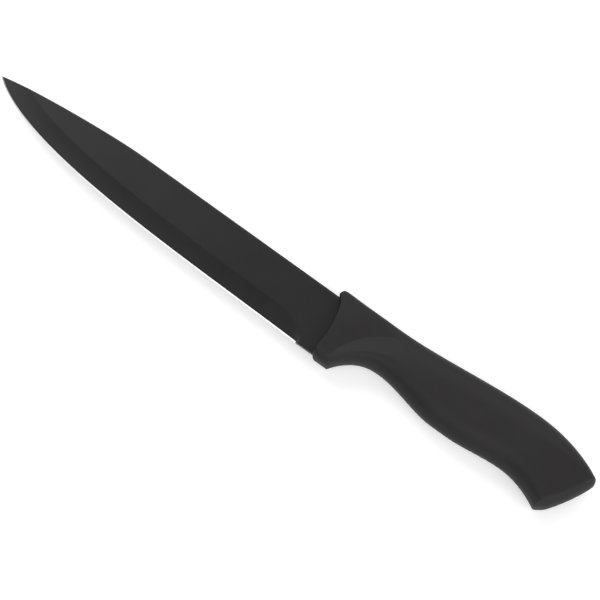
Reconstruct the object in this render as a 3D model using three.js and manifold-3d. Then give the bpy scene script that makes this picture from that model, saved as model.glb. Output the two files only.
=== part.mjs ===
// Meat knife: a ground steel blade with a hidden tang, a hard core moulded round the tang
// and a soft grip skin moulded over the core.
// Millimetres. X runs from tip to butt, Y towards the spine, Z up through the left cheek.
// Until the last step X = 0 is a datum at the handle's front, Y = 0 the tip's level and
// Z = 0 the blade's middle plane.
import * as THREE from "three";
import { mergeVertices } from "three/addons/utils/BufferGeometryUtils.js";
import Module from "manifold-3d";

// Blade blank
const bladeLength = 178; // tip to the datum at the handle's front
const bladeThickness = 1.8;
const spineHeight = 5.92; // spine above the tip, at the handle
const crownHeight = 6.87; // highest point of the spine above the tip
const crownPlace = 0.581; // crown's distance from the handle, as a part of the blade's length
const tipRise = 3.1; // pull of the spine's curve at the tip, upwards
const tipRiseReach = 14.5; // and along the blade
const crownReach = 20; // pull of the spine's curve at the crown
const bellyDrop = 21.5; // pull of the edge's curve at the tip, downwards
const bellyReach = 26.3; // and along the blade
const heelDepth = 21.25; // edge below the tip, at the heel
const heelGap = 3; // heel ahead of the datum
const heelReach = 60.9; // pull of the edge's curve at the heel
const edgeSlope = 0.033; // fall of the edge along the blade, at the heel

// Grinding and honing
const grindHeight = 9.05; // hollow grind, measured square to the edge
const groundHalf = 0.26; // half the thickness left behind the honed edge
const plungeLength = 17; // run of the curved end of the grind
const plungeGap = 1.4; // end of the grind ahead of the datum
const plungePower = 9; // steepness of the wall at that end
const honeAngle = THREE.MathUtils.degToRad(17); // one side
const edgeHalf = 0.04; // half the land left on the honed edge
const honeRunout = 0.5; // the honing ends this far behind the heel

// Tang
const shoulderPlace = 9.5; // back of the full-height blade, behind the datum
const tangStop = 38.5; // end of the tang ahead of the crease at the butt
const tangHeight = 11.5;
const tangTaper = 0.82; // height at the end, as a part of the height at the shoulder
const tangMiddle = -1.5; // middle of the tang above the tip's level
const tangHoleRadius = 2.6;
const tangHolePlaces = [0.3, 0.76]; // along the tang, as parts of its length

// Handle, in side view
const handleLength = 132; // datum to the crease at the butt, along the top
const topFront = 9.5; // top of the handle above the tip's level, at the front
const topDip = 9.1; // and at its lowest behind that
const dipPlace = 16;
const topCrest = 13.4; // and at its highest
const crestPlace = 96;
const crestStart = 30; // where the top begins to climb
const tailDrop = 8.4; // fall of the top from the crest to the butt
const tailPower = 2.2;
const frontSet = 0.4; // foremost point of the front, behind the datum
const frontPeak = 5.7; // and above the tip's level
const frontLean = 0.1; // the front leans back above that point, across per height
const frontHollow = 6.15; // depth of the front's arch below it
const frontDeepest = -15; // where the arch is deepest, above the tip's level
const frontPower = 0.66;
const guardDepth = 22.4; // flat under the guard, below the tip's level
const guardBack = 14.2; // back corner of that flat
const hollowDepth = 11.45; // finger hollow, below the tip's level
const hollowPlace = 33;
const hollowPower = 2.5;
const palmDepth = 16.5;
const palmPlace = 68;
const palmRun = 7; // straight stretch there
const waistDepth = 14.35;
const waistPlace = 97;
const beakDepth = 19.7;
const beakPlace = 117;
const buttLean = 13.9; // the butt's bottom lies this far ahead of its top
const buttBow = 1.5;
const buttDome = 2.4; // end face beyond the crease that bounds it
const topCornerRadius = 1.7;
const noseRadius = 2;
const frontRound = 0.7; // rounding of the front's rim

// Handle, in section
const frontHalf = 6.4; // half the thickness at the front
const palmHalf = 9.3; // and at the palm, where both cheeks are flat
const buttHalf = 7.4; // and at the butt's crease
const palmFrom = 58; // the flat of the cheeks begins
const palmTo = 100; // and ends
const frontTopShoulder = 3.2; // height of the rounding from cheek to top, at the front
const palmTopShoulder = 11.5;
const frontLowShoulder = 3.6; // height of the rounding from cheek to underside, at the front
const palmLowShoulder = 11;
const shoulderPower = 2.2;

// Swept crease behind the guard, a valley in both cheeks
const creaseDepth = 1.4;
const facetRun = 13; // width of its slope on the blade's side
const stepRun = 5; // and on the palm's side
const creaseStart = new THREE.Vector2(12, -guardDepth);
const creaseBend = new THREE.Vector2(16, 4.9);
const creaseEnd = new THREE.Vector2(52, topDip);
const creaseFade = 0.55; // where along it the valley begins to die out

// Moulded joints
const clearance = 0.3; // between neighbouring pieces
const skinWall = 2.4; // soft skin over the core
const coreSetback = 1.6; // core behind the blade's shoulder
const buttWall = 4.2; // soft skin behind the core
const windowRadius = 3.1; // holes in the core for the skin's posts
const windowPitch = 11;
const windowGap = 7; // middle of the first hole behind the tang's end
const windowCount = 2;
const windowHeight = -1.2; // their middle above the tip's level

// Fineness of the meshes
const curveSteps = 30;
const grindSteps = 8;
const plungeSteps = 10;
const handleLevels = 24;
const frontSteps = 5; // over the rounded front
const facetSteps = 11; // from there to the swept crease
const gripSteps = 36; // from the crease to the butt
const gripCrowding = 1.6; // closer together next to the crease
const coreLevels = 16;
const coreSteps = 18;
const domeSteps = 8;
const roundSteps = 40;
const rounds = 24; // of stepwise solving
const smallest = 0.004; // thinner slivers left by cutting are taken out

const wasm = await Module();
wasm.setup();

const mix = THREE.MathUtils.lerp;
const clamp = THREE.MathUtils.clamp;
const ease = (value) => THREE.MathUtils.smoothstep(value, 0, 1);
const count = (length) => Array.from({ length }, (_, i) => i);

// A closed triangle mesh as a solid for cutting and joining.
function solidOf(geometry) {
  const bare = geometry.clone();
  for (const name of Object.keys(bare.attributes)) {
    if (name !== "position") bare.deleteAttribute(name);
  }
  const merged = mergeVertices(bare, 1e-4);
  const mesh = new wasm.Mesh({
    numProp: 3,
    vertProperties: new Float32Array(merged.attributes.position.array),
    triVerts: new Uint32Array(merged.index.array),
  });
  return new wasm.Manifold(mesh);
}

function geometryOf(solid) {
  const mesh = solid.simplify(smallest).getMesh();
  const geometry = new THREE.BufferGeometry();
  geometry.setAttribute("position", new THREE.BufferAttribute(mesh.vertProperties, 3));
  geometry.setIndex(new THREE.BufferAttribute(mesh.triVerts, 1));
  return geometry;
}

// Points and triangles as a closed geometry that faces outward.
function closedGeometry(points, triangles) {
  let volume = 0;
  for (const [a, b, c] of triangles) {
    volume += points[a].dot(new THREE.Vector3().crossVectors(points[b], points[c]));
  }
  const turned = triangles.map(([a, b, c]) => (volume > 0 ? [a, b, c] : [a, c, b]));
  const geometry = new THREE.BufferGeometry().setFromPoints(points);
  geometry.setIndex(turned.flat());
  return geometry;
}

// The sides of a loft through rings of equally many points.
function ringSides(ringCount, size) {
  const triangles = [];
  for (let k = 0; k + 1 < ringCount; k++) {
    for (let i = 0; i < size; i++) {
      const a = k * size + i;
      const b = k * size + ((i + 1) % size);
      triangles.push([a, b, b + size], [a, b + size, a + size]);
    }
  }
  return triangles;
}

// A solid through convex rings, flat at both ends.
function loft(rings) {
  const size = rings[0].length;
  const last = (rings.length - 1) * size;
  const triangles = ringSides(rings.length, size);
  for (let i = 1; i + 1 < size; i++) {
    triangles.push([0, i + 1, i], [last, last + i, last + i + 1]);
  }
  return closedGeometry(rings.flat(), triangles);
}

function plate(shape, thickness) {
  const geometry = new THREE.ExtrudeGeometry(shape, {
    depth: thickness,
    bevelEnabled: false,
    curveSegments: curveSteps,
  });
  return geometry.translate(0, 0, -thickness / 2);
}

function rod(radius, length, x, y) {
  const geometry = new THREE.CylinderGeometry(radius, radius, length, roundSteps);
  return geometry.rotateX(Math.PI / 2).translate(x, y, 0);
}

// Blade: one blank with its tang, ground hollow on both sides, then honed.

const tip = new THREE.Vector2(-bladeLength, 0);
const crown = new THREE.Vector2(-bladeLength * crownPlace, crownHeight);
const heel = new THREE.Vector2(-heelGap, -heelDepth);
const spineFall = (crownHeight - spineHeight) / (bladeLength * crownPlace);
const ricassoBottom = -heelDepth;
const tangEnd = handleLength - tangStop;
const tangLength = tangEnd - shoulderPlace;
const tangHoles = tangHolePlaces.map((part) => shoulderPlace + part * tangLength);
const edgeCurve = new THREE.CubicBezierCurve(
  tip,
  new THREE.Vector2(tip.x + bellyReach, tip.y - bellyDrop),
  new THREE.Vector2(heel.x - heelReach, heel.y + heelReach * edgeSlope),
  heel,
);

// Corners from the bottom of the blade's root round the tang to the spine, grown by a gap.
function rootCorners(front, grow) {
  const half = tangHeight / 2 + grow;
  const endHalf = (tangHeight * tangTaper) / 2 + grow;
  const back = shoulderPlace + grow;
  return [
    new THREE.Vector2(front, ricassoBottom - grow),
    new THREE.Vector2(back, ricassoBottom - grow),
    new THREE.Vector2(back, tangMiddle - half),
    new THREE.Vector2(tangEnd + grow, tangMiddle - endHalf),
    new THREE.Vector2(tangEnd + grow, tangMiddle + endHalf),
    new THREE.Vector2(back, tangMiddle + half),
    new THREE.Vector2(back, spineHeight + grow),
    new THREE.Vector2(front, spineHeight + grow),
  ];
}

function blankShape() {
  const shape = new THREE.Shape();
  shape.moveTo(tip.x, tip.y);
  shape.bezierCurveTo(...edgeCurve.v1, ...edgeCurve.v2, ...heel);
  for (const corner of rootCorners(heel.x, 0).slice(1, -1)) shape.lineTo(...corner);
  shape.lineTo(0, spineHeight);
  shape.lineTo(...crown);
  shape.bezierCurveTo(
    crown.x - crownReach,
    crown.y + crownReach * spineFall,
    tip.x + tipRiseReach,
    tip.y + tipRise,
    tip.x,
    tip.y,
  );
  for (const x of tangHoles) {
    const hole = new THREE.Path();
    hole.absarc(x, tangMiddle, tangHoleRadius, 0, 2 * Math.PI, true);
    shape.holes.push(hole);
  }
  return shape;
}

// A place on the edge, run on straight past the tip and the heel, with the way inward.
function edgePlace(t, beyond) {
  const point = edgeCurve.getPoint(t);
  const along = edgeCurve.getTangent(t);
  const inward = new THREE.Vector2(-along.y, along.x);
  return { point: point.addScaledVector(along, beyond), inward };
}

function at(place, height, z) {
  const { point, inward } = place;
  return new THREE.Vector3(point.x + inward.x * height, point.y + inward.y * height, z);
}

// The part of the edge curve where x is reached.
function edgePart(x) {
  let low = 0;
  let high = 1;
  for (const _ of count(rounds)) {
    const middle = (low + high) / 2;
    if (edgeCurve.getPoint(middle).x < x) low = middle;
    else high = middle;
  }
  return low;
}

const overrun = 1; // cutters reach past the blade by this much
const bladeHalf = bladeThickness / 2;
const plungeStart = -plungeGap - plungeLength;

// Stations of the grinding cutter: along the edge, then closer together through the plunge.
function grindStations() {
  const stations = [{ place: edgePlace(0, -overrun), run: 0 }];
  for (const i of count(curveSteps + 1)) {
    const place = edgePlace(i / curveSteps, 0);
    if (place.point.x < plungeStart) stations.push({ place, run: 0 });
  }
  for (const i of count(plungeSteps + 1)) {
    const run = Math.sin(((i / plungeSteps) * Math.PI) / 2);
    const x = plungeStart + run * plungeLength;
    const place = x < heel.x ? edgePlace(edgePart(x), 0) : edgePlace(1, x - heel.x);
    stations.push({ place, run });
  }
  return stations;
}

// One side's grinding cutter: a hollow that is deepest at the edge and ends in a curved plunge.
function grindCutter(side) {
  const fullDepth = bladeHalf - groundHalf;
  const rings = grindStations().map(({ place, run }) => {
    const reach = Math.max(Math.sqrt(1 - run * run), 1e-2);
    const depth = (part) => {
      const wall = clamp(run / Math.sqrt(1 - part * part), 0, 1);
      return fullDepth * (1 - part * part) * (1 - wall ** plungePower);
    };
    const top = reach * grindHeight + overrun;
    const ring = [at(place, -overrun, side * (bladeHalf - depth(0)))];
    for (const j of count(grindSteps + 1)) {
      const part = (reach * j) / grindSteps;
      const cut = j < grindSteps ? depth(part) : 0;
      ring.push(at(place, part * grindHeight, side * (bladeHalf - cut)));
    }
    ring.push(at(place, top, side * (bladeHalf + fullDepth)));
    ring.push(at(place, top, side * (bladeThickness + overrun)));
    ring.push(at(place, -overrun, side * (bladeThickness + overrun)));
    return ring;
  });
  return loft(rings);
}

// One side's honing cutter: a flat bevel along the whole edge up to the heel.
function honeCutter(side) {
  const slope = Math.tan(honeAngle);
  const height = bladeThickness / slope;
  const places = [edgePlace(0, -overrun)];
  for (const i of count(curveSteps)) places.push(edgePlace(i / curveSteps, 0));
  places.push(edgePlace(1, honeRunout));
  const rings = places.map((place) => [
    at(place, -overrun, side * (edgeHalf - overrun * slope)),
    at(place, height, side * (edgeHalf + height * slope)),
    at(place, height, side * (bladeThickness + overrun)),
    at(place, -overrun, side * (bladeThickness + overrun)),
  ]);
  return loft(rings);
}

function makeBlade() {
  let blade = solidOf(plate(blankShape(), bladeThickness));
  for (const side of [1, -1]) {
    blade = blade.subtract(solidOf(grindCutter(side)));
    blade = blade.subtract(solidOf(honeCutter(side)));
  }
  return blade;
}

// Handle: its outline, its thickness over that outline and the lines that its mesh follows.

function topEdge(x) {
  if (x < crestStart) return mix(topFront, topDip, ease(x / dipPlace));
  if (x < crestPlace) {
    return mix(topDip, topCrest, ease((x - crestStart) / (crestPlace - crestStart)));
  }
  return topCrest - tailDrop * ((x - crestPlace) / (handleLength - crestPlace)) ** tailPower;
}

function underEdge(x) {
  const palmStart = palmPlace - palmRun / 2;
  const palmEnd = palmPlace + palmRun / 2;
  if (x < guardBack) return -guardDepth;
  if (x < hollowPlace) {
    const left = (hollowPlace - x) / (hollowPlace - guardBack);
    return mix(-hollowDepth, -guardDepth, left ** hollowPower);
  }
  if (x < palmStart) {
    return mix(-hollowDepth, -palmDepth, ease((x - hollowPlace) / (palmStart - hollowPlace)));
  }
  if (x < palmEnd) return -palmDepth;
  if (x < waistPlace) {
    return mix(-palmDepth, -waistDepth, ease((x - palmEnd) / (waistPlace - palmEnd)));
  }
  return mix(-waistDepth, -beakDepth, ((x - waistPlace) / (beakPlace - waistPlace)) ** 2);
}

function frontLine(y) {
  if (y > frontPeak) return frontSet + (y - frontPeak) * frontLean;
  const part = (y - frontDeepest) / (frontPeak - frontDeepest);
  return frontSet + frontHollow * (1 - part * part) ** frontPower;
}

function buttLine(y) {
  const buttTop = topCrest - tailDrop;
  const part = (buttTop - y) / (buttTop + beakDepth);
  return handleLength - buttLean * part + buttBow * 4 * part * (1 - part);
}

const creaseCurve = new THREE.QuadraticBezierCurve(creaseStart, creaseBend, creaseEnd);

// The part of the swept crease that lies at a height, run on straight past its ends.
function creasePart(y) {
  const bend = creaseStart.y - 2 * creaseBend.y + creaseEnd.y;
  const rise = creaseBend.y - creaseStart.y;
  return (-rise + Math.sqrt(Math.max(rise * rise - bend * (creaseStart.y - y), 0))) / bend;
}

function creaseLine(y) {
  return creaseCurve.getPoint(creasePart(y)).x;
}

// What a rounded corner takes away at a distance from its end.
function cornerLoss(distance, radius) {
  const left = clamp(radius - distance, 0, radius);
  return radius - Math.sqrt(radius * radius - left * left);
}

// Outline of the handle with the front's corners rounded.
function topLine(x) {
  const corner = frontLine(topFront - topCornerRadius);
  return topEdge(x) - cornerLoss(x - corner, topCornerRadius);
}

function underLine(x) {
  const corner = frontLine(noseRadius - guardDepth);
  return underEdge(x) + cornerLoss(x - corner, noseRadius);
}

function cheekHalf(x) {
  if (x < palmFrom) return mix(frontHalf, palmHalf, ease(x / palmFrom));
  if (x < palmTo) return palmHalf;
  return mix(palmHalf, buttHalf, ((x - palmTo) / (handleLength - palmTo)) ** 2);
}

const creasePoints = creaseCurve.getPoints(curveSteps * 2);

// Depth of the swept crease under the cheek.
function valley(x, y) {
  const here = new THREE.Vector2(x, y);
  let nearest = Infinity;
  let part = 0;
  for (let i = 0; i + 1 < creasePoints.length; i++) {
    const start = creasePoints[i];
    const along = creasePoints[i + 1].clone().sub(start);
    const offset = here.clone().sub(start);
    const run = clamp(offset.dot(along) / along.lengthSq(), 0, 1);
    const gap = offset.distanceTo(along.multiplyScalar(run));
    if (gap < nearest) {
      nearest = gap;
      part = (i + run) / (creasePoints.length - 1);
    }
  }
  const width = x > creaseLine(y) ? stepRun : facetRun;
  const fall = clamp(1 - nearest / width, 0, 1);
  const left = 1 - ease((part - creaseFade) / (1 - creaseFade));
  return creaseDepth * left * fall * fall;
}

// What is left of the half-thickness in the rounding from cheek to top or underside.
function shoulderLeft(part) {
  return (1 - clamp(part, 0, 1) ** shoulderPower) ** (1 / shoulderPower);
}

// Half the handle's thickness at a place, set in from the skin's surface.
function halfAt(x, y, inset) {
  const grip = ease((x - guardBack) / (palmFrom - guardBack));
  const topRun = mix(frontTopShoulder, palmTopShoulder, grip) - inset / 2;
  const lowRun = mix(frontLowShoulder, palmLowShoulder, grip) - inset / 2;
  const over = shoulderLeft((y - topLine(x) + inset + topRun) / topRun);
  const under = shoulderLeft((underLine(x) + inset + lowRun - y) / lowRun);
  return (cheekHalf(x) - inset) * over * under;
}

function skinHalf(x, y) {
  const rim = halfAt(x, y, 0);
  const loss = valley(x, y) + cornerLoss(x - frontLine(y), frontRound);
  return rim * (1 - loss / cheekHalf(x));
}

// One closed handle shape through lines across its side view, mirrored to the other cheek.
function handleShape({ lines, inset, half, levels, dome }) {
  const points = [];
  for (const line of lines) {
    let low = -hollowDepth;
    let high = topFront;
    for (const _ of count(rounds)) {
      low = mix(low, underLine(line(low)) + inset, 0.6);
      high = mix(high, topLine(line(high)) - inset, 0.6);
    }
    const left = count(levels + 1).map((j) => {
      const y = mix(low, high, (1 - Math.cos((Math.PI * j) / levels)) / 2);
      const ends = j === 0 || j === levels;
      return new THREE.Vector3(line(y), y, ends ? 0 : half(line(y), y));
    });
    const right = left.slice(1, -1).reverse();
    points.push(...left, ...right.map((p) => new THREE.Vector3(p.x, p.y, -p.z)));
  }

  const size = 2 * levels;
  const triangles = ringSides(lines.length, size);
  const mate = (j) => (size - j) % size;
  for (const j of count(levels)) {
    if (j > 0) triangles.push([j + 1, j, mate(j)]);
    if (j + 1 < levels) triangles.push([j + 1, mate(j), mate(j + 1)]);
  }

  // The end face at the butt, domed between its two creases.
  const last = (lines.length - 1) * size;
  const thickest = Math.max(...points.slice(last).map((p) => p.z));
  const rows = count(levels + 1).map((j) => {
    const edge = points[last + j];
    const row = [last + j];
    if (j === 0 || j === levels) return row;
    for (let k = 1; k < domeSteps; k++) {
      const z = Math.cos((Math.PI * k) / domeSteps);
      const bulge = dome * (edge.z / thickest) * (1 - z * z);
      row.push(points.length);
      points.push(new THREE.Vector3(edge.x + bulge, edge.y, edge.z * z));
    }
    row.push(last + mate(j));
    return row;
  });
  for (const j of count(levels)) {
    const [p, q] = [rows[j], rows[j + 1]];
    for (const k of count(domeSteps)) {
      if (q.length > 1) triangles.push([p[Math.min(k, p.length - 1)], q[k], q[k + 1]]);
      if (p.length > 1) triangles.push([p[k], q[Math.min(k + 1, q.length - 1)], p[k + 1]]);
    }
  }
  return closedGeometry(points, triangles);
}

// Lines spread between two others, at parts of the way.
function between(first, second, parts) {
  return parts.map((part) => (y) => mix(first(y), second(y), part));
}

// The skin's lines: rounded front, facet, swept crease, grip, butt.
function skinLines() {
  const rim = (y) => frontLine(y) + frontRound;
  const quarter = (i) => 1 - Math.cos((Math.PI * i) / 2 / frontSteps);
  const gripPart = (i) => (i / gripSteps) ** gripCrowding;
  return [
    ...between(frontLine, rim, count(frontSteps).map(quarter)),
    ...between(rim, creaseLine, count(facetSteps).map((i) => i / facetSteps)),
    ...between(creaseLine, buttLine, count(gripSteps + 1).map(gripPart)),
  ];
}

const windows = count(windowCount).map((i) => tangEnd + windowGap + i * windowPitch);

// The core's outside, grown by a gap: its body less the holes for the skin's posts.
function coreBody(grow) {
  const inset = skinWall + clearance - grow;
  const front = () => shoulderPlace + coreSetback - grow;
  const back = (y) => buttLine(y) - buttWall + grow;
  const body = handleShape({
    lines: between(front, back, count(coreSteps + 1).map((i) => i / coreSteps)),
    inset,
    half: (x, y) => halfAt(x, y, inset),
    levels: coreLevels,
    dome: 0,
  });
  let solid = solidOf(body);
  for (const x of windows) {
    solid = solid.subtract(solidOf(rod(windowRadius - grow, palmHalf * 4, x, windowHeight)));
  }
  return solid;
}

// The room for the blade's root and tang, open to the front.
function rootRoom() {
  const shape = new THREE.Shape(rootCorners(-guardDepth, clearance));
  return solidOf(plate(shape, bladeThickness + 2 * clearance));
}

function makeCore() {
  let core = coreBody(0).subtract(rootRoom());
  for (const x of tangHoles) {
    const plug = rod(tangHoleRadius - clearance, bladeThickness * 3, x, tangMiddle);
    core = core.add(solidOf(plug));
  }
  return core;
}

function makeSkin() {
  const outside = handleShape({
    lines: skinLines(),
    inset: 0,
    half: skinHalf,
    levels: handleLevels,
    dome: buttDome,
  });
  return solidOf(outside).subtract(coreBody(clearance)).subtract(rootRoom());
}

const coated = new THREE.MeshStandardMaterial({ color: 0x363637, roughness: 0.5, metalness: 0.2 });
const hard = new THREE.MeshStandardMaterial({ color: 0x262628, roughness: 0.6, metalness: 0 });
const soft = new THREE.MeshStandardMaterial({ color: 0x383638, roughness: 0.75, metalness: 0 });

const pieces = [
  ["blade", makeBlade(), coated],
  ["handle_core", makeCore(), hard],
  ["grip_skin", makeSkin(), soft],
];

const knife = new THREE.Group();
knife.name = "meat_knife";
for (const [name, solid, material] of pieces) {
  const mesh = new THREE.Mesh(geometryOf(solid), material);
  mesh.name = name;
  knife.add(mesh);
}

// The origin goes to the middle of the box's bottom: the knife lies on its right cheek.
const box = new THREE.Box3().setFromObject(knife);
const middle = box.getCenter(new THREE.Vector3());
for (const mesh of knife.children) {
  mesh.geometry.translate(-middle.x, -middle.y, -box.min.z);
  mesh.geometry.computeVertexNormals();
}

export default knife;
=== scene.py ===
import math

import bmesh
import bpy
import numpy as np
from mathutils import Matrix, Vector


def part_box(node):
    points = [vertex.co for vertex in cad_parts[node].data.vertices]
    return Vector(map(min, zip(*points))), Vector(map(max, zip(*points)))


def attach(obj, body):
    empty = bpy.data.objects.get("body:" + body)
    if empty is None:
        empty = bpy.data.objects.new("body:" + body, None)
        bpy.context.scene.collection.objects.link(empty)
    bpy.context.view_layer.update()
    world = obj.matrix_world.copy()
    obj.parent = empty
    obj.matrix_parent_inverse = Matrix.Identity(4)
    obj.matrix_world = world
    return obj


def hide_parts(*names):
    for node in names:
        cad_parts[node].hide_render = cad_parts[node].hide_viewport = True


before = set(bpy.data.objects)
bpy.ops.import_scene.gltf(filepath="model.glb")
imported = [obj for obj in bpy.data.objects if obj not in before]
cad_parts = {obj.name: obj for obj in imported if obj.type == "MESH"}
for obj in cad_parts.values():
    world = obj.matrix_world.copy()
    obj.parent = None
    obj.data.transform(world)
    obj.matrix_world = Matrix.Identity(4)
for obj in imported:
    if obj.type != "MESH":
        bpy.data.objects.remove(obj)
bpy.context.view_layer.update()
scene = bpy.context.scene
MM = 0.001

# Sizes in millimetres, as the part has them, but for the finer forms noted below. X = 0 is a
# datum at the handle's front, Y = 0 the tip's level and Z = 0 the blade's middle plane.

# Blade blank
BLADE_LENGTH = 178.0
BLADE_HALF = 0.9
SPINE_HEIGHT = 5.92
CROWN_HEIGHT = 6.87
CROWN_PLACE = 0.581
TIP_RISE = 3.1
TIP_RISE_REACH = 14.5
CROWN_REACH = 20.0
BELLY_DROP = 21.5
BELLY_REACH = 26.3
HEEL_DEPTH = 21.25
HEEL_GAP = 3.0
HEEL_REACH = 60.9
EDGE_SLOPE = 0.033

# Grinding, honing and the eased spine
GRIND_HEIGHT = 9.05
SOFT_LINE = 0.06  # rounding of the grind's upper line
GROUND_HALF = 0.206  # leaves the part's thickness behind the edge, with that rounding
PLUNGE_LENGTH = 17.0
PLUNGE_GAP = 1.4
PLUNGE_POWER = 9.0
HONE_ANGLE = math.radians(17)
EDGE_HALF = 0.04
HONE_RUNOUT = 0.5
BARE_WIDTH = 0.54  # the coat stops this far from the edge, on the hone's wide end too
SPINE_ROUND = 0.18

# Tang
SHOULDER_PLACE = 9.5
TANG_STOP = 38.5
TANG_HEIGHT = 11.5
TANG_TAPER = 0.82
TANG_MIDDLE = -1.5
TANG_HOLE_RADIUS = 2.6
TANG_HOLE_PLACES = (0.3, 0.76)

# Handle, in side view
HANDLE_LENGTH = 132.0
TOP_FRONT = 9.5
TOP_DIP = 9.1
DIP_PLACE = 16.0
TOP_CREST = 13.4
CREST_PLACE = 96.0
CREST_START = 30.0
TAIL_DROP = 8.4
TAIL_POWER = 2.2
FRONT_SET = 0.4
FRONT_PEAK = 5.7
FRONT_LEAN = 0.1
FRONT_HOLLOW = 6.15
FRONT_DEEPEST = -15.0
FRONT_POWER = 0.66
GUARD_DEPTH = 22.4
GUARD_BACK = 14.2
HOLLOW_DEPTH = 11.45
HOLLOW_PLACE = 33.0
HOLLOW_POWER = 2.5
PALM_DEPTH = 16.5
PALM_PLACE = 68.0
PALM_RUN = 7.0
WAIST_DEPTH = 14.35
WAIST_PLACE = 97.0
BEAK_DEPTH = 19.7
BEAK_PLACE = 117.0
BUTT_LEAN = 13.9
BUTT_BOW = 1.5
BUTT_DOME = 2.4
DOME_POWER = 2.05  # how soon the dome dies away towards the butt's thin ends
TOP_CORNER_RADIUS = 1.7
NOSE_RADIUS = 2.0
FRONT_ROUND = 0.7
BUTT_ROUND = 1.4  # rounder than the solid's edge

# Handle, in section
FRONT_HALF = 6.4
PALM_HALF = 9.3
BUTT_HALF = 7.4
PALM_FROM = 58.0
PALM_TO = 100.0
FRONT_TOP_SHOULDER = 3.2
PALM_TOP_SHOULDER = 11.5
FRONT_LOW_SHOULDER = 3.6
PALM_LOW_SHOULDER = 11.0
BUTT_SHOULDER = 4.5  # fuller than in the solid
SHOULDER_POWER = 2.2

# Swept crease
CREASE_DEPTH = 1.4
FACET_RUN = 13.0
STEP_RUN = 8.5  # wider than in the solid
STEP_POWER = 1.5
CREASE_START = np.array([12.0, -GUARD_DEPTH])
CREASE_BEND = np.array([16.0, 4.9])
CREASE_END = np.array([52.0, TOP_DIP])
CREASE_BEGIN = 0.1  # the crease's soft start, not in the solid
CREASE_FADE = 0.55

# Moulded joints
CLEARANCE = 0.3
SKIN_WALL = 2.4
CORE_SETBACK = 1.6
POST_RADIUS = 2.8
POST_PLACES = (7.0, 18.0)  # behind the tang's end
POST_HEIGHT = -1.2
BUTT_WALL = 4.2

# Where the part's frame is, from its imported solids
blade_low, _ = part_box("blade")
skin_low, skin_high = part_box("grip_skin")
SHIFT = np.array([
    blade_low.x / MM + BLADE_LENGTH,
    skin_low.y / MM + GUARD_DEPTH,
    (skin_low.z + skin_high.z) / 2 / MM,
])


def in_frame(points):
    return (np.asarray(points, float) + SHIFT) * MM


def ease(value):
    value = np.clip(value, 0, 1)
    return value * value * (3 - 2 * value)


def mix(first, second, part):
    return first + (second - first) * part


def corner_loss(distance, radius):
    """What a rounded corner takes away at a distance from its end."""
    left = np.clip(radius - distance, 0, radius)
    return radius - np.sqrt(radius * radius - left * left)


# Meshes

def quads(rows, size, closed):
    """Faces between rows of equally many points; closed joins a row's last point to its first."""
    faces = []
    for k in range(rows - 1):
        for i in range(size if closed else size - 1):
            a, b = k * size + i, k * size + (i + 1) % size
            faces.append((a, b, b + size, a + size))
    return faces


def mesh_of(name, points, faces):
    mesh = bpy.data.meshes.new(name)
    mesh.from_pydata([tuple(p) for p in points], [], faces)
    mesh.update()
    return mesh


def object_of(name, mesh):
    made = bpy.data.objects.new(name, mesh)
    scene.collection.objects.link(made)
    return made


def plain_mesh(made, name):
    """What an object's modifiers make of it, as a mesh of its own."""
    graph = bpy.context.evaluated_depsgraph_get()
    mesh = bpy.data.meshes.new_from_object(made.evaluated_get(graph), depsgraph=graph)
    mesh.name = name
    made.modifiers.clear()
    return mesh


def finish_mesh(mesh, keen_angle):
    """Faces outward, smooth, with edges keener than an angle kept sharp."""
    work = bmesh.new()
    work.from_mesh(mesh)
    bmesh.ops.recalc_face_normals(work, faces=work.faces)
    for face in work.faces:
        face.smooth = True
    for edge in work.edges:
        if edge.calc_face_angle(0.0) > keen_angle:
            edge.smooth = False
    work.to_mesh(mesh)
    work.free()
    mesh.update()


# Blade: a flat sheet that carries its distances, given its thickness by a rule

TIP = np.array([-BLADE_LENGTH, 0.0])
CROWN = np.array([-BLADE_LENGTH * CROWN_PLACE, CROWN_HEIGHT])
HEEL = np.array([-HEEL_GAP, -HEEL_DEPTH])
SPINE_FALL = (CROWN_HEIGHT - SPINE_HEIGHT) / (BLADE_LENGTH * CROWN_PLACE)
RICASSO_BOTTOM = -HEEL_DEPTH
PLUNGE_START = -PLUNGE_GAP - PLUNGE_LENGTH
ROOT_PLACE = 8.0  # the ruled sheet ends here, inside the handle
TANG_END = HANDLE_LENGTH - TANG_STOP
TANG_LENGTH = TANG_END - SHOULDER_PLACE


def bezier(a, b, c, d, t):
    """Points of a cubic curve and its direction there."""
    t = np.asarray(t, float)[:, None]
    s = 1 - t
    place = a * s**3 + 3 * b * s * s * t + 3 * c * s * t * t + d * t**3
    way = (b - a) * s * s + 2 * (c - b) * s * t + (d - c) * t * t
    return place, way / np.linalg.norm(way, axis=1, keepdims=True)


def edge_curve(t):
    first = TIP + (BELLY_REACH, -BELLY_DROP)
    second = HEEL + (-HEEL_REACH, HEEL_REACH * EDGE_SLOPE)
    return bezier(TIP, first, second, HEEL, t)


fine = np.linspace(0, 1, 2001)
EDGE_X = edge_curve(fine)[0][:, 0]
CROWN_PULL = CROWN + (-CROWN_REACH, CROWN_REACH * SPINE_FALL)
TIP_PULL = TIP + (TIP_RISE_REACH, TIP_RISE)
SPINE_FRONT = bezier(CROWN, CROWN_PULL, TIP_PULL, TIP, fine)[0][::-1]
SPINE_LINE = np.vstack([SPINE_FRONT, [[0.0, SPINE_HEIGHT], [TANG_END, SPINE_HEIGHT]]])


def spine_height(x):
    return np.interp(x, SPINE_LINE[:, 0], SPINE_LINE[:, 1])


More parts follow.
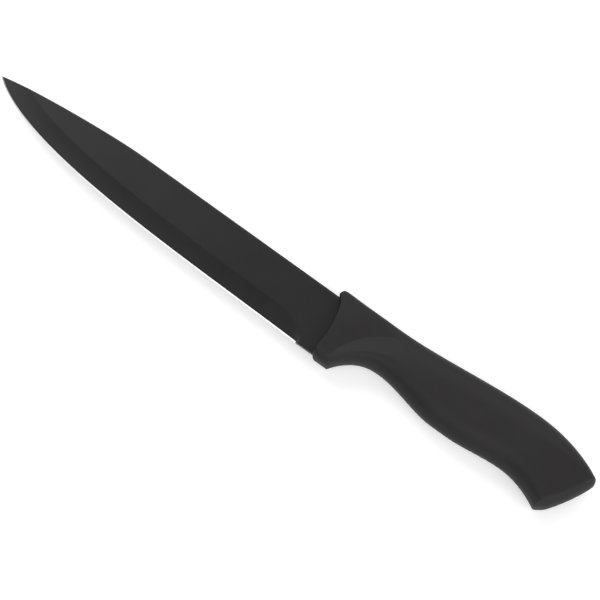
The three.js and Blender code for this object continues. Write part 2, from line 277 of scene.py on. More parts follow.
def ground_half(from_edge, run):
    """Half the blade's thickness by the grinding alone, as the blade's rule has it."""
    part = np.clip(from_edge / GRIND_HEIGHT, 0, 1)
    hollow = 1 - part**2
    wall = np.clip(run / np.sqrt(np.maximum(hollow, 1e-6)), 0, 1) ** PLUNGE_POWER
    depth = (BLADE_HALF - GROUND_HALF) * hollow * (1 - wall)
    return BLADE_HALF - depth * depth / (depth + SOFT_LINE)


def blade_sheet():
    """The blade's side view as a flat mesh: rows run along the edge, columns square to it."""
    hone_end = HEEL[0] + HONE_RUNOUT
    end_turn = math.asin((hone_end - PLUNGE_START) / PLUNGE_LENGTH)
    straight = np.linspace(0, np.interp(PLUNGE_START, EDGE_X, fine), 221)[1:-1]
    turns = np.concatenate([np.linspace(0, end_turn, 35), np.linspace(end_turn, math.pi / 2, 13)])
    plunge_x = PLUNGE_START + np.sin(turns) * PLUNGE_LENGTH
    plunge_x[35] += 0.02
    root_x = np.linspace(-PLUNGE_GAP, ROOT_PLACE, 13)[1:]
    behind_x = np.concatenate([plunge_x, root_x])

    # Columns stand on the edge, or on its straight run past the heel.
    heel_part = np.interp(np.minimum(behind_x, HEEL[0]), EDGE_X, fine)
    base, way = edge_curve(np.concatenate([straight, heel_part]))
    past = np.concatenate([np.zeros(len(straight)), np.maximum(behind_x - HEEL[0], 0)])
    base = base + way * (past / way[:, 0])[:, None]
    inward = np.stack([-way[:, 1], way[:, 0]], axis=1)
    honed_columns = len(straight) + 35
    honed = np.arange(len(base)) < honed_columns
    run = np.clip((base[:, 0] - PLUNGE_START) / PLUNGE_LENGTH, 0, 1)

    # Distance from the edge to the spine, square to the edge
    near, far = np.zeros(len(base)), np.full(len(base), 40.0)
    for _ in range(50):
        middle = (near + far) / 2
        spot = base + inward * middle[:, None]
        inside = spot[:, 1] < spine_height(spot[:, 0])
        near, far = np.where(inside, middle, near), np.where(inside, far, middle)
    width = near

    bottom = np.where(past > 0, (RICASSO_BOTTOM - base[:, 1]) / inward[:, 1], 0)
    bevel = np.full(len(base), 0.7)
    for _ in range(12):
        bevel = (ground_half(bevel, run) - EDGE_HALF) / math.tan(HONE_ANGLE)
    bevel = np.where(honed, bevel, bevel[honed_columns - 1])
    easing = np.minimum(SPINE_ROUND, 0.15 * width)
    reach = np.maximum(np.sqrt(1 - run * run) * GRIND_HEIGHT, 0.8)
    reach = np.minimum(reach, width - easing)
    bevel = np.minimum(bevel, np.where(honed, 0.97, 0.4) * reach)

    grind_parts = np.sin(np.linspace(0, math.pi / 2, 27))[1:]
    flat_parts = np.linspace(0, 1, 13)[1:]
    round_parts = np.sin(np.linspace(0, math.pi / 2, 6))[1:]
    bare = mix(bottom, bevel, np.minimum(0.95, BARE_WIDTH / bevel))
    rows = [bottom, bare, bevel]
    rows += [mix(bevel, reach, part) for part in grind_parts]
    rows += [mix(reach, width - easing, part) for part in flat_parts]
    rows += [mix(width - easing, width, part) for part in round_parts]
    heights = np.stack(rows, axis=1)
    bevel_row, grind_row = 2, 2 + len(grind_parts)

    columns, size = heights.shape
    points = base[:, None, :] + inward[:, None, :] * heights[:, :, None]
    along = np.concatenate([[0], np.cumsum(np.linalg.norm(np.diff(base, axis=0), axis=1))])
    facts = {
        "from_edge": heights,
        "to_spine": width[:, None] - heights,
        "run": np.repeat(run[:, None], size, axis=1),
        "honed": np.repeat(honed[:, None], size, axis=1),
        "along": np.repeat(along[:, None], size, axis=1),
    }
    faces = quads(columns, size, False)
    bevelled = [k % (size - 1) == 0 and k // (size - 1) < honed_columns - 1
                for k in range(len(faces))]

    # The tip's point joins the first column.
    points = np.vstack([points.reshape(-1, 2), TIP])
    facts = {name: np.append(value.reshape(-1), 0.0) for name, value in facts.items()}
    facts["honed"][-1] = 1.0
    tip = len(points) - 1
    faces += [(tip, i, i + 1) for i in range(size - 1)]
    bevelled += [i == 0 for i in range(size - 1)]
    lines = {frozenset((k * size + row, (k + 1) * size + row))
             for row in (bevel_row, grind_row) for k in range(columns - 1)}
    return points, faces, facts, bevelled, lines, range((columns - 1) * size, columns * size)


def tang_outline():
    """Corners of the blade's root from the ruled sheet's foot round the tang to its spine."""
    half = TANG_HEIGHT / 2
    end_half = half * TANG_TAPER
    return [
        (SHOULDER_PLACE, RICASSO_BOTTOM),
        (SHOULDER_PLACE, TANG_MIDDLE - half),
        (TANG_END, TANG_MIDDLE - end_half),
        (TANG_END, TANG_MIDDLE + end_half),
        (SHOULDER_PLACE, TANG_MIDDLE + half),
        (SHOULDER_PLACE, SPINE_HEIGHT),
    ]


def blade_blank():
    """The ruled sheet and the tang as one flat mesh, with its distances as attributes."""
    points, faces, facts, bevelled, lines, last_column = blade_sheet()
    far = 1.0 / MM
    plain = {"from_edge": far, "to_spine": far, "run": 1.0, "honed": 0.0, "along": 0.0}
    work = bmesh.new()
    layers = {name: work.verts.layers.float.new(name) for name in facts}
    bevel_layer = work.faces.layers.int.new("bevel")
    verts = []
    for i, (x, y) in enumerate(points):
        vert = work.verts.new(in_frame((x, y, 0)))
        for name, layer in layers.items():
            size = MM if name in ("from_edge", "to_spine", "along") else 1
            vert[layer] = float(facts[name][i]) * size
        verts.append(vert)
    for corners, honed in zip(faces, bevelled):
        face = work.faces.new([verts[i] for i in corners])
        face[bevel_layer] = int(honed)
    for edge in work.edges:
        if frozenset(vert.index for vert in edge.verts) in lines:
            edge.smooth = False

    def add(x, y):
        vert = work.verts.new(in_frame((x, y, 0)))
        for name, layer in layers.items():
            vert[layer] = plain[name] * (MM if plain[name] == far else 1)
        return vert

    def ring(made, closed):
        ends = made[1:] + made[:1] if closed else made[1:]
        return [work.edges.get(pair) or work.edges.new(pair) for pair in zip(made, ends)]

    outline = [add(x, y) for x, y in tang_outline()]
    column = [verts[i] for i in last_column]
    rims = ring(column, False) + ring([column[0], *outline, column[-1]], False)
    for part in TANG_HOLE_PLACES:
        turns = np.linspace(0, 2 * math.pi, 49)[:-1]
        x = SHOULDER_PLACE + part * TANG_LENGTH + TANG_HOLE_RADIUS * np.cos(turns)
        y = TANG_MIDDLE + TANG_HOLE_RADIUS * np.sin(turns)
        rims += ring([add(*spot) for spot in zip(x, y)], True)
    bmesh.ops.triangle_fill(work, use_beauty=True, use_dissolve=False, edges=rims)
    for face in work.faces:
        face.normal_update()
        if face.normal.z < 0:
            face.normal_flip()
    mesh = bpy.data.meshes.new("blade_blank")
    work.to_mesh(mesh)
    work.free()
    return object_of("blade_blank", mesh)


class Sums:
    """Math nodes of one tree, written as sums."""

    def __init__(self, tree):
        self.tree = tree

    def __call__(self, operation, *values):
        node = self.tree.nodes.new("ShaderNodeMath")
        node.operation = operation
        for socket, value in zip(node.inputs, values):
            if isinstance(value, bpy.types.NodeSocket):
                self.tree.links.new(value, socket)
            else:
                socket.default_value = value
        return node.outputs[0]


BLADE_INPUTS = {
    "Half thickness": BLADE_HALF * MM,
    "Grind height": GRIND_HEIGHT * MM,
    "Ground half": GROUND_HALF * MM,
    "Soft line": SOFT_LINE * MM,
    "Plunge power": PLUNGE_POWER,
    "Hone slope": math.tan(HONE_ANGLE),
    "Edge half": EDGE_HALF * MM,
    "Spine round": SPINE_ROUND * MM,
}


def blade_tree():
    """Geometry nodes that thicken the sheet: hollow grind, plunge, honed bevel, eased spine."""
    tree = bpy.data.node_groups.new("ground_blade", "GeometryNodeTree")
    face = tree.interface
    face.new_socket(name="Sheet", in_out="INPUT", socket_type="NodeSocketGeometry")
    for name in BLADE_INPUTS:
        face.new_socket(name=name, in_out="INPUT", socket_type="NodeSocketFloat")
    for name in ("Coat", "Bare steel"):
        face.new_socket(name=name, in_out="INPUT", socket_type="NodeSocketMaterial")
    face.new_socket(name="Blade", in_out="OUTPUT", socket_type="NodeSocketGeometry")
    nodes, join = tree.nodes, tree.links.new
    given = nodes.new("NodeGroupInput").outputs
    result = nodes.new("NodeGroupOutput").inputs
    do = Sums(tree)

    def fact(name, kind="FLOAT"):
        node = nodes.new("GeometryNodeInputNamedAttribute")
        node.data_type = kind
        node.inputs["Name"].default_value = name
        return node.outputs["Attribute"]

    half, height = given["Half thickness"], given["Grind height"]
    from_edge = fact("from_edge")
    part = do("MINIMUM", do("MAXIMUM", do("DIVIDE", from_edge, height), 0.0), 1.0)
    hollow = do("MAXIMUM", do("SUBTRACT", 1.0, do("MULTIPLY", part, part)), 1e-6)
    steep = do("MINIMUM", do("DIVIDE", fact("run"), do("SQRT", hollow)), 1.0)
    wall = do("SUBTRACT", 1.0, do("POWER", steep, given["Plunge power"]))
    full = do("SUBTRACT", half, given["Ground half"])
    depth = do("MULTIPLY", do("MULTIPLY", full, hollow), wall)
    softened = do("DIVIDE", do("MULTIPLY", depth, depth), do("ADD", depth, given["Soft line"]))
    ground = do("SUBTRACT", half, softened)

    unhoned = do("SUBTRACT", 1.0, fact("honed"))
    bevel = do("MULTIPLY_ADD", from_edge, given["Hone slope"], given["Edge half"])
    bevel = do("ADD", bevel, do("MULTIPLY", unhoned, 1.0))
    sharp = do("MINIMUM", ground, bevel)

    rounding = given["Spine round"]
    left = do("MAXIMUM", do("SUBTRACT", rounding, fact("to_spine")), 0.0)
    arc = do("SUBTRACT", do("MULTIPLY", rounding, rounding), do("MULTIPLY", left, left))
    loss = do("SUBTRACT", rounding, do("SQRT", do("MAXIMUM", arc, 0.0)))
    loss = do("MULTIPLY", loss, do("DIVIDE", sharp, half))
    thick = do("SUBTRACT", sharp, loss)

    keep = nodes.new("GeometryNodeStoreNamedAttribute")
    keep.data_type, keep.domain = "FLOAT", "POINT"
    keep.inputs["Name"].default_value = "half"
    join(given["Sheet"], keep.inputs["Geometry"])
    join(thick, keep.inputs["Value"])

    def lifted(geometry, times, chosen=None):
        node = nodes.new("GeometryNodeSetPosition")
        up = nodes.new("ShaderNodeCombineXYZ")
        join(do("MULTIPLY", fact("half"), times), up.inputs["Z"])
        join(up.outputs["Vector"], node.inputs["Offset"])
        join(geometry, node.inputs["Geometry"])
        if chosen:
            join(chosen, node.inputs["Selection"])
        return node.outputs["Geometry"]

    beside = nodes.new("GeometryNodeInputMeshEdgeNeighbors")
    rim = nodes.new("FunctionNodeCompare")
    rim.data_type, rim.operation = "INT", "EQUAL"
    join(beside.outputs["Face Count"], rim.inputs[2])
    rim.inputs[3].default_value = 1
    walls = nodes.new("GeometryNodeExtrudeMesh")
    walls.mode = "EDGES"
    walls.inputs["Offset Scale"].default_value = 0.0
    join(lifted(keep.outputs["Geometry"], 1.0), walls.inputs["Mesh"])
    join(rim.outputs["Result"], walls.inputs["Selection"])
    left_side = lifted(walls.outputs["Mesh"], -2.0, walls.outputs["Top"])
    flip = nodes.new("GeometryNodeFlipFaces")
    join(lifted(keep.outputs["Geometry"], -1.0), flip.inputs["Mesh"])
    both = nodes.new("GeometryNodeJoinGeometry")
    join(flip.outputs["Mesh"], both.inputs["Geometry"])
    join(left_side, both.inputs["Geometry"])
    merge = nodes.new("GeometryNodeMergeByDistance")
    merge.inputs["Distance"].default_value = 1e-8
    join(both.outputs["Geometry"], merge.inputs["Geometry"])

    real = nodes.new("GeometryNodeRealizeInstances")
    join(merge.outputs["Geometry"], real.inputs["Geometry"])
    coat = nodes.new("GeometryNodeSetMaterial")
    join(real.outputs["Geometry"], coat.inputs["Geometry"])
    join(given["Coat"], coat.inputs["Material"])
    steel = nodes.new("GeometryNodeSetMaterial")
    join(coat.outputs["Geometry"], steel.inputs["Geometry"])
    bare = nodes.new("FunctionNodeCompare")
    bare.data_type, bare.operation = "INT", "EQUAL"
    join(fact("bevel", "INT"), bare.inputs[2])
    bare.inputs[3].default_value = 1
    join(bare.outputs["Result"], steel.inputs["Selection"])
    join(given["Bare steel"], steel.inputs["Material"])
    join(steel.outputs["Geometry"], result["Blade"])
    return tree


def make_blade(coat, steel):
    blank = blade_blank()
    tree = blade_tree()
    rule = blank.modifiers.new("ground_blade", "NODES")
    rule.node_group = tree
    values = {**BLADE_INPUTS, "Coat": coat, "Bare steel": steel}
    for socket in tree.interface.items_tree:
        if socket.in_out == "INPUT" and socket.name in values:
            rule[socket.identifier] = values[socket.name]
    mesh = plain_mesh(blank, "knife_blade")
    bpy.data.objects.remove(blank)
    finish_mesh(mesh, math.radians(30))
    return object_of("knife_blade", mesh)


# Handle: half its thickness over its side view, and the lines that its mesh follows

def top_edge(x):
    dip = mix(TOP_FRONT, TOP_DIP, ease(x / DIP_PLACE))
    climb = mix(dip, TOP_CREST, ease((x - CREST_START) / (CREST_PLACE - CREST_START)))
    tail = np.maximum(x - CREST_PLACE, 0) / (HANDLE_LENGTH - CREST_PLACE)
    return climb - TAIL_DROP * tail**TAIL_POWER


def under_edge(x):
    start, end = PALM_PLACE - PALM_RUN / 2, PALM_PLACE + PALM_RUN / 2
    left = np.clip((HOLLOW_PLACE - x) / (HOLLOW_PLACE - GUARD_BACK), 0, 1)
    hollow = mix(-HOLLOW_DEPTH, -GUARD_DEPTH, left**HOLLOW_POWER)
    palm = mix(-HOLLOW_DEPTH, -PALM_DEPTH, ease((x - HOLLOW_PLACE) / (start - HOLLOW_PLACE)))
    waist = mix(-PALM_DEPTH, -WAIST_DEPTH, ease((x - end) / (WAIST_PLACE - end)))
    beak = mix(-WAIST_DEPTH, -BEAK_DEPTH, ((x - WAIST_PLACE) / (BEAK_PLACE - WAIST_PLACE)) ** 2)
    places = [x < HOLLOW_PLACE, x < end, x < WAIST_PLACE]
    return np.select(places, [hollow, palm, waist], beak)


def front_line(y):
    part = np.minimum((y - FRONT_DEEPEST) / (FRONT_PEAK - FRONT_DEEPEST), 1)
    arch = FRONT_HOLLOW * (1 - part * part) ** FRONT_POWER
    return FRONT_SET + arch + np.maximum(y - FRONT_PEAK, 0) * FRONT_LEAN


def butt_line(y):
    butt_top = TOP_CREST - TAIL_DROP
    part = (butt_top - y) / (butt_top + BEAK_DEPTH)
    return HANDLE_LENGTH - BUTT_LEAN * part + BUTT_BOW * 4 * part * (1 - part)


def crease_point(t):
    t = np.asarray(t, float)[..., None]
    s = 1 - t
    return CREASE_START * s * s + 2 * CREASE_BEND * s * t + CREASE_END * t * t


def crease_line(y):
    bend = CREASE_START[1] - 2 * CREASE_BEND[1] + CREASE_END[1]
    rise = CREASE_BEND[1] - CREASE_START[1]
    root = np.sqrt(np.maximum(rise * rise - bend * (CREASE_START[1] - y), 0))
    return crease_point((root - rise) / bend)[..., 0]


def top_line(x):
    corner = front_line(TOP_FRONT - TOP_CORNER_RADIUS)
    return top_edge(x) - corner_loss(x - corner, TOP_CORNER_RADIUS)


def under_line(x):
    corner = front_line(NOSE_RADIUS - GUARD_DEPTH)
    return under_edge(x) + corner_loss(x - corner, NOSE_RADIUS)


def cheek_half(x):
    rise = mix(FRONT_HALF, PALM_HALF, ease(x / PALM_FROM))
    fall = np.clip((x - PALM_TO) / (HANDLE_LENGTH - PALM_TO), 0, None) ** 2
    return rise - (PALM_HALF - BUTT_HALF) * fall


def valley(x, y):
    """Depth of the swept crease under the cheek."""
    here = np.stack([x, y], axis=-1)
    spots = crease_point(np.linspace(0, 1, 161))
    nearest, part = np.full(x.shape, np.inf), np.zeros(x.shape)
    for i, (start, end) in enumerate(zip(spots[:-1], spots[1:])):
        along = end - start
        run = np.clip((here - start) @ along / (along @ along), 0, 1)
        gap = np.linalg.norm(here - start - run[..., None] * along, axis=-1)
        closer = gap < nearest
        nearest = np.where(closer, gap, nearest)
        part = np.where(closer, (i + run) / (len(spots) - 1), part)
    behind = x > crease_line(y)
    fall = np.clip(1 - nearest / np.where(behind, STEP_RUN, FACET_RUN), 0, 1)
    left = 1 - ease((part - CREASE_FADE) / (1 - CREASE_FADE))
    left = left * ease(part / CREASE_BEGIN)
    return CREASE_DEPTH * left * fall ** np.where(behind, STEP_POWER, 2)


def shoulder_left(part):
    return (1 - np.clip(part, 0, 1) ** SHOULDER_POWER) ** (1 / SHOULDER_POWER)


def half_at(x, y, inset, flare=0.0):
    grip = ease((x - GUARD_BACK) / (PALM_FROM - GUARD_BACK))
    top_run = mix(FRONT_TOP_SHOULDER, PALM_TOP_SHOULDER, grip) - inset / 2
    low_run = mix(FRONT_LOW_SHOULDER, PALM_LOW_SHOULDER, grip) - inset / 2
    top_run = mix(top_run, BUTT_SHOULDER, flare)
    low_run = mix(low_run, BUTT_SHOULDER, flare)
    over = shoulder_left((y - top_line(x) + inset + top_run) / top_run)
    under = shoulder_left((under_line(x) + inset + low_run - y) / low_run)
    return (cheek_half(x) - inset) * over * under


def skin_half(x, y):
    loss = valley(x, y) + corner_loss(x - front_line(y), FRONT_ROUND)
    loss = loss + corner_loss(butt_line(y) - x, BUTT_ROUND)
    flare = ease((x - WAIST_PLACE) / (HANDLE_LENGTH - WAIST_PLACE))
    return half_at(x, y, 0, flare) * (1 - loss / cheek_half(x))


def handle_mesh(name, line, count, inset, half, levels, dome, dome_steps):
    """A closed handle shape through lines across its side view, the same on both cheeks."""
    low = np.full(count, -HOLLOW_DEPTH)
    high = np.full(count, TOP_FRONT)
    for _ in range(60):
        low = mix(low, under_line(line(low)) + inset, 0.5)
        high = mix(high, top_line(line(high)) - inset, 0.5)
    parts = (1 - np.cos(np.linspace(0, math.pi, levels + 1))) / 2
    y = low[:, None] + (high - low)[:, None] * parts
    x = np.stack([line(column) for column in y.T], axis=1)
    z = np.maximum(half(x, y), 0.01)  # the cheeks meet only at the rim
    z[:, [0, -1]] = 0
    left = np.stack([x, y, z], axis=-1)
    right = left[:, -2:0:-1] * (1, 1, -1)
    rings = np.concatenate([left, right], axis=1)
    size = 2 * levels
    points = list(rings.reshape(-1, 3))
    faces = quads(count, size, True)

    def cap(first, bulge, steps):
        """An end face between the two cheeks, bulging in the middle."""
        thickest = rings[first // size][:, 2].max()
        rows = []
        for j in range(levels + 1):
            edge = points[first + j]
            row = [first + j]
            if 0 < j < levels:
                for k in range(1, steps):
                    across = math.cos(math.pi * k / steps)
                    out = bulge * (edge[2] / thickest) ** DOME_POWER * (1 - across * across)
                    row.append(len(points))
                    points.append(np.array([edge[0] + out, edge[1], edge[2] * across]))
                row.append(first + size - j)
            rows.append(row)
        for p, q in zip(rows[:-1], rows[1:]):
            if len(p) == 1:
                faces.extend((p[0], q[k], q[k + 1]) for k in range(steps))
            elif len(q) == 1:
                faces.extend((p[k], q[0], p[k + 1]) for k in range(steps))
            else:
                faces.extend((p[k], q[k], q[k + 1], p[k + 1]) for k in range(steps))

    cap(0, 0.0, 4)
    cap((count - 1) * size, dome, dome_steps)
    return mesh_of(name, in_frame(points), faces)


def skin_lines():
    """How far each of the skin's lines follows the front, the swept crease and the butt."""
    front, facet, grip, end = 8, 46, 150, 6
    weights = []
    for i in range(front):
        weights.append((1, 0, 0, FRONT_ROUND * (1 - math.cos(math.pi * i / 2 / front))))
    for i in range(facet):
        part = i / facet
        weights.append((1 - part, part, 0, FRONT_ROUND * (1 - part)))
    for i in range(grip):
        part = (i / grip) ** 1.6
        weights.append((0, 1 - part, part, -BUTT_ROUND * part))
    for i in range(end + 1):
        weights.append((0, 0, 1, -BUTT_ROUND * (1 - math.sin(math.pi * i / 2 / end))))
    return np.array(weights)


def prism(name, corners, deep):
    count = len(corners)
    points = [(x, y, z) for z in (-deep, deep) for x, y in corners]
    sides = [(i, (i + 1) % count, (i + 1) % count + count, i + count) for i in range(count)]
    caps = [tuple(range(count))[::-1], tuple(range(count, 2 * count))]
    return mesh_of(name, in_frame(points), sides + caps)


def cut_by(name, mesh, cutters):
    """The mesh less the cutters."""
    finish_mesh(mesh, math.radians(40))
    body = object_of(name, mesh)
    used = [body]
    for cutter in cutters:
        finish_mesh(cutter, math.radians(40))
        used.append(object_of(cutter.name, cutter))
        cut = body.modifiers.new(cutter.name, "BOOLEAN")
        cut.operation, cut.solver, cut.object = "DIFFERENCE", "EXACT", used[-1]
    left = plain_mesh(body, name)
    for spent in used:
        bpy.data.objects.remove(spent)
    return left


def make_room():
    """The rooms inside the skin: for the hard core, and for the blade's root and tang."""
    parts = np.linspace(0, 1, 61)
    front = SHOULDER_PLACE + CORE_SETBACK - CLEARANCE

    def line(y):
        return mix(front, butt_line(y) - BUTT_WALL + CLEARANCE, parts)

    core_room = handle_mesh("core_room", line, len(parts), SKIN_WALL,
                            lambda x, y: half_at(x, y, SKIN_WALL), 36, 0.0, 4)
    grow = CLEARANCE
    start = -GUARD_DEPTH
    corners = [(start, RICASSO_BOTTOM - grow)]
    for x, y in tang_outline():
        corners.append((x + grow, y + (grow if y > TANG_MIDDLE else -grow)))
    corners.append((start, SPINE_HEIGHT + grow))
    root_room = prism("root_room", corners, BLADE_HALF + grow)

    # The skin's posts stay standing in the core's room.
    turns = np.linspace(0, 2 * math.pi, 49)[:-1]
    rods = []
    for place in POST_PLACES:
        x = TANG_END + place + POST_RADIUS * np.cos(turns)
        y = POST_HEIGHT + POST_RADIUS * np.sin(turns)
        rods.append(prism("post", list(zip(x, y)), 2 * PALM_HALF))
    return [cut_by("core_room", core_room, rods), root_room]


def make_grip(rubber):
    weights = skin_lines()

    def line(y):
        follow = weights[:, 0] * front_line(y) + weights[:, 1] * crease_line(y)
        return follow + weights[:, 2] * butt_line(y) + weights[:, 3]

    outside = handle_mesh("grip_outside", line, len(weights), 0.0, skin_half, 104, BUTT_DOME, 20)
    mesh = cut_by("knife_grip", outside, make_room())
    mesh.materials.clear()
    mesh.materials.append(rubber)
    finish_mesh(mesh, math.radians(40))
    return object_of("knife_grip", mesh)


# Finishes

def shader_group(name, inputs, outputs):
    tree = bpy.data.node_groups.new(name, "ShaderNodeTree")
    for label, kind in inputs:
        tree.interface.new_socket(name=label, in_out="INPUT", socket_type=kind)
    for label, kind in outputs:
        tree.interface.new_socket(name=label, in_out="OUTPUT", socket_type=kind)
    given = tree.nodes.new("NodeGroupInput").outputs
    result = tree.nodes.new("NodeGroupOutput").inputs
    return tree, given, result


def noise(tree, vector, scale, detail, rough=0.5):
    node = tree.nodes.new("ShaderNodeTexNoise")
    tree.links.new(vector, node.inputs["Vector"])
    for name, value in (("Scale", scale), ("Detail", detail), ("Roughness", rough)):
        if isinstance(value, bpy.types.NodeSocket):
            tree.links.new(value, node.inputs[name])
        else:
            node.inputs[name].default_value = value
    return node.outputs["Fac"]


def grain_group():
    """Fine grain of a sprayed or moulded surface, with slow patches in its tone."""
    number, vector = "NodeSocketFloat", "NodeSocketVector"
    tree, given, result = shader_group(
        "fine_grain",
        [("Place", vector), ("Grain", number), ("Patch", number)],
        [("Height", number), ("Tone", number)],
    )
    do = Sums(tree)
    fine_part = noise(tree, given["Place"], given["Grain"], 2.0, 0.6)
    coarse = noise(tree, given["Place"], do("MULTIPLY", given["Grain"], 0.28), 2.0)
    height = do("MULTIPLY_ADD", coarse, 0.45, do("MULTIPLY", fine_part, 0.55))
    patch = noise(tree, given["Place"], given["Patch"], 3.0, 0.55)
    tree.links.new(height, result["Height"])
    tree.links.new(patch, result["Tone"])
    return tree


def rub_group():
    """Where handling has rubbed a surface: near an edge, broken up by noise."""
    number, vector = "NodeSocketFloat", "NodeSocketVector"
    tree, given, result = shader_group(
        "rubbed_edge",
        [("Place", vector), ("Distance", number), ("Reach", number), ("Scale", number)],
        [("Mask", number)],
    )
    do = Sums(tree)
    near = do("SUBTRACT", 1.0, do("MINIMUM", do("DIVIDE", given["Distance"], given["Reach"]), 1.0))
    broken = noise(tree, given["Place"], given["Scale"], 4.0, 0.6)
    mask = do("MULTIPLY", do("MULTIPLY", near, near), do("MULTIPLY_ADD", broken, 1.6, -0.3))
    tree.links.new(do("MINIMUM", do("MAXIMUM", mask, 0.0), 1.0), result["Mask"])
    return tree


def new_material(name):
    material = bpy.data.materials.new(name)
    material.use_nodes = True
    tree = material.node_tree
    shader = tree.nodes["Principled BSDF"]
    place = tree.nodes.new("ShaderNodeTexCoord").outputs["Object"]
    return material, tree, shader, place


def use_group(tree, group, **values):
    node = tree.nodes.new("ShaderNodeGroup")
    node.node_tree = group
    for name, value in values.items():
        if isinstance(value, bpy.types.NodeSocket):
            tree.links.new(value, node.inputs[name])
        else:
            node.inputs[name].default_value = value
    return node.outputs


def attribute(tree, name):
    node = tree.nodes.new("ShaderNodeAttribute")
    node.attribute_type, node.attribute_name = "GEOMETRY", name
    return node.outputs["Fac"]


def ranged(tree, value, low, high, start=0.0, end=1.0):
    node = tree.nodes.new("ShaderNodeMapRange")
    tree.links.new(value, node.inputs["Value"])
    for name, number in (("From Min", start), ("From Max", end), ("To Min", low), ("To Max", high)):
        node.inputs[name].default_value = number
    return node.outputs["Result"]


def blended(tree, factor, first, second):
    node = tree.nodes.new("ShaderNodeMix")
    node.data_type = "RGBA"
    tree.links.new(factor, node.inputs["Factor"])
    for socket, value in zip(node.inputs[6:8], (first, second)):
        if isinstance(value, bpy.types.NodeSocket):
            tree.links.new(value, socket)
        else:
            socket.default_value = (*value, 1.0)
    return node.outputs[2]


def bumped(tree, shader, height, distance, strength):
    node = tree.nodes.new("ShaderNodeBump")
    node.inputs["Strength"].default_value = strength
    node.inputs["Distance"].default_value = distance
    tree.links.new(height, node.inputs["Height"])
    tree.links.new(node.outputs["Normal"], shader.inputs["Normal"])


GRAIN = grain_group()
RUB = rub_group()


def coat_finish():
    """Matt black coat sprayed on the blade."""
    material, tree, shader, place = new_material("blade_coat")
    grain = use_group(tree, GRAIN, Place=place, Grain=3600.0, Patch=55.0)
    spine = use_group(tree, RUB, Place=place, Distance=attribute(tree, "to_spine"),
                      Reach=0.0012, Scale=700.0)["Mask"]
    tone = blended(tree, ranged(tree, grain["Tone"], 0.0, 1.0, 0.3, 0.7),
                   (0.0126, 0.0125, 0.0126), (0.0142, 0.0140, 0.0141))
    tone = blended(tree, ranged(tree, spine, 0.0, 0.6), tone, (0.045, 0.045, 0.046))
    tree.links.new(tone, shader.inputs["Base Color"])
    rough = ranged(tree, grain["Tone"], 0.30, 0.34, 0.3, 0.7)
    tree.links.new(rough, shader.inputs["Roughness"])
    shader.inputs["Specular IOR Level"].default_value = 0.27
    bumped(tree, shader, grain["Height"], 0.00002, 0.5)
    return material


def steel_finish():
    """Bare honed steel with fine scratches square to the edge."""
    material, tree, shader, place = new_material("honed_steel")
    spread = tree.nodes.new("ShaderNodeCombineXYZ")
    tree.links.new(attribute(tree, "along"), spread.inputs["X"])
    do = Sums(tree)
    tree.links.new(do("MULTIPLY", attribute(tree, "from_edge"), 0.06), spread.inputs["Y"])
    lines = noise(tree, spread.outputs["Vector"], 9000.0, 3.0, 0.7)
    tone = blended(tree, ranged(tree, lines, 0.0, 1.0, 0.3, 0.7),
                   (0.93, 0.93, 0.925), (0.97, 0.97, 0.965))
    tree.links.new(tone, shader.inputs["Base Color"])
    shader.inputs["Metallic"].default_value = 1.0
    tree.links.new(ranged(tree, lines, 0.2, 0.32, 0.3, 0.7), shader.inputs["Roughness"])
    bumped(tree, shader, lines, 0.00001, 0.4)
    return material


def rubber_finish():
    """Soft-touch skin of the handle."""
    material, tree, shader, place = new_material("soft_skin")
    grain = use_group(tree, GRAIN, Place=place, Grain=2400.0, Patch=70.0)
    tone = blended(tree, ranged(tree, grain["Tone"], 0.0, 1.0, 0.3, 0.7),
                   (0.0170, 0.0154, 0.0160), (0.0186, 0.0169, 0.0175))
    tree.links.new(tone, shader.inputs["Base Color"])
    rough = ranged(tree, grain["Tone"], 0.47, 0.53, 0.3, 0.7)
    tree.links.new(rough, shader.inputs["Roughness"])
    facing = tree.nodes.new("ShaderNodeLayerWeight")
    facing.inputs["Blend"].default_value = 0.5
    sheen = ranged(tree, facing.outputs["Facing"], 0.23, 0.1, 0.08, 0.5)
    tree.links.new(sheen, shader.inputs["Specular IOR Level"])
    bumped(tree, shader, grain["Height"], 0.00004, 0.5)
    return material


def core_finish():
    """Hard moulded core, inside the skin."""
    material, tree, shader, place = new_material("hard_core")
    grain = use_group(tree, GRAIN, Place=place, Grain=1800.0, Patch=90.0)
    tone = blended(tree, grain["Tone"], (0.016, 0.016, 0.017), (0.024, 0.024, 0.025))
    tree.links.new(tone, shader.inputs["Base Color"])
    tree.links.new(ranged(tree, grain["Tone"], 0.4, 0.55), shader.inputs["Roughness"])
    bumped(tree, shader, grain["Height"], 0.00003, 0.5)
    return material


# Camera, floor and light

AIM = Vector(in_frame((-16.0, 0.4, 0.0)))
AZIMUTH, ELEVATION = math.radians(36.86), math.radians(70.0)
DISTANCE = 1.1
ACROSS = (-0.39, 0.898, 0.201)  # direction square to the dark gap between the tent's panels
GAP_PLACE = 0.335  # how far the gap stands off the plane square to that
DARK_SIDE = (-0.62, -0.785, 0.0)  # direction of the tent's dark side


def make_camera():
    right = Vector((math.cos(AZIMUTH), math.sin(AZIMUTH), 0))
    level = math.cos(ELEVATION)
    back = Vector((math.sin(AZIMUTH) * level, -math.cos(AZIMUTH) * level, math.sin(ELEVATION)))
    up = back.cross(right)
    data = bpy.data.cameras.new("camera")
    data.sensor_width, data.lens = 36.0, 156.55
    data.shift_x, data.shift_y = -0.0008, -0.0242
    data.clip_start, data.clip_end = 0.05, 20.0
    camera = object_of("camera", data)
    turn = Matrix((right, up, back)).transposed().to_4x4()
    camera.matrix_world = Matrix.Translation(AIM + back * DISTANCE) @ turn
    scene.camera = camera


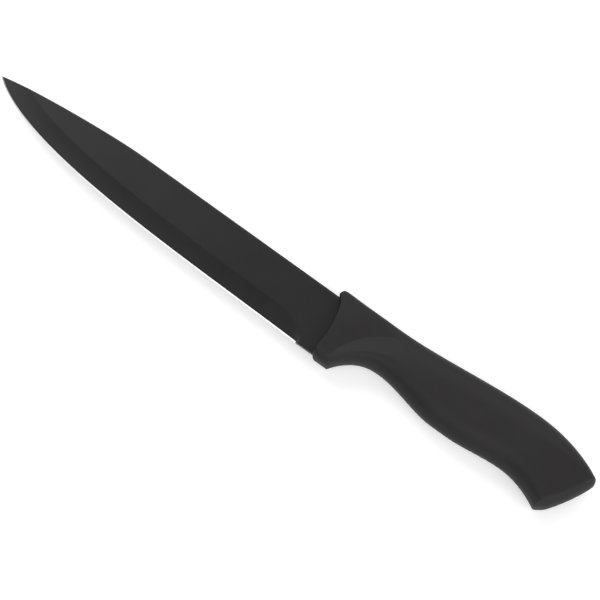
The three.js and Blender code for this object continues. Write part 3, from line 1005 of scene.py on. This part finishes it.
def seen_plainly(tree):
    """1 for rays from the camera and for mirror and clear rays, 0 for the light's own ways."""
    path = tree.nodes.new("ShaderNodeLightPath")
    do = Sums(tree)
    seen = do("MAXIMUM", path.outputs["Is Camera Ray"], path.outputs["Is Glossy Ray"])
    return do("MAXIMUM", seen, path.outputs["Is Transmission Ray"]), do


def make_floor():
    reach, below = 4.0, -0.00002
    sides = ((-reach, -reach), (reach, -reach), (reach, reach), (-reach, reach))
    corners = [(x, y, below) for x, y in sides]
    floor = object_of("floor", mesh_of("floor", corners, [(0, 1, 2, 3)]))
    material, tree, shader, _ = new_material("pale_floor")
    shader.inputs["Base Color"].default_value = (0.95, 0.95, 0.95, 1)
    shader.inputs["Roughness"].default_value = 0.9
    shader.inputs["Specular IOR Level"].default_value = 0.0
    shader.inputs["Emission Color"].default_value = (1, 1, 1, 1)
    seen, do = seen_plainly(tree)
    tree.links.new(do("MULTIPLY", seen, 0.3), shader.inputs["Emission Strength"])
    floor.data.materials.append(material)


def make_light(name, place, size, watts):
    data = bpy.data.lights.new(name, "AREA")
    data.shape, data.size, data.size_y = "RECTANGLE", *size
    data.energy = watts
    lamp = object_of(name, data)
    place = Vector(place)
    lamp.location = place
    lamp.rotation_euler = (AIM - place).to_track_quat("-Z", "Y").to_euler()


def make_surround():
    """A light tent of two pale panels, dimmer towards the floor, with a dark gap and a dark side."""
    world = bpy.data.worlds.new("light_tent")
    scene.world = world
    world.use_nodes = True
    tree = world.node_tree
    ground = tree.nodes["Background"]
    ground.inputs["Color"].default_value = (1, 1, 1, 1)
    do = Sums(tree)
    towards = tree.nodes.new("ShaderNodeNewGeometry").outputs["Incoming"]

    def nearness(direction):
        """How near a ray comes to a direction: 1 along it, 0 square to it."""
        node = tree.nodes.new("ShaderNodeVectorMath")
        node.operation = "DOT_PRODUCT"
        tree.links.new(towards, node.inputs[0])
        node.inputs[1].default_value = tuple(-part for part in direction)
        return node.outputs["Value"]

    def shade(value, start, end, low, high):
        """From low to high, smoothly, as the value goes from start to end."""
        node = tree.nodes.new("ShaderNodeMapRange")
        node.interpolation_type = "SMOOTHSTEP"
        tree.links.new(value, node.inputs["Value"])
        names = ("From Min", "From Max", "To Min", "To Max")
        for name, number in zip(names, (start, end, low, high)):
            node.inputs[name].default_value = number
        return node.outputs["Result"]

    walls = shade(nearness((0, 0, 1)), 0.0, 0.42, 0.31, 1.72)
    from_gap = do("ABSOLUTE", do("SUBTRACT", nearness(ACROSS), GAP_PLACE))
    walls = do("MULTIPLY", walls, shade(from_gap, 0.02, 0.51, 0.04, 1.0))
    walls = do("MULTIPLY", walls, shade(nearness(DARK_SIDE), 0.53, 0.9, 1.0, 0.12))
    path = tree.nodes.new("ShaderNodeLightPath")
    strength = do("MAXIMUM", path.outputs["Is Camera Ray"], walls)
    tree.links.new(strength, ground.inputs["Strength"])


make_camera()
make_floor()
make_surround()
make_light("key", (-0.91, 0.35, 1.08), (0.62, 0.62), 3.8)

blade = make_blade(coat_finish(), steel_finish())
grip = make_grip(rubber_finish())
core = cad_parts["handle_core"]
core.data.materials.clear()
core.data.materials.append(core_finish())

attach(blade, "root")
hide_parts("blade")
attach(grip, "root")
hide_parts("grip_skin")

scene.view_settings.view_transform = "Standard"
bpy.context.view_layer.update()
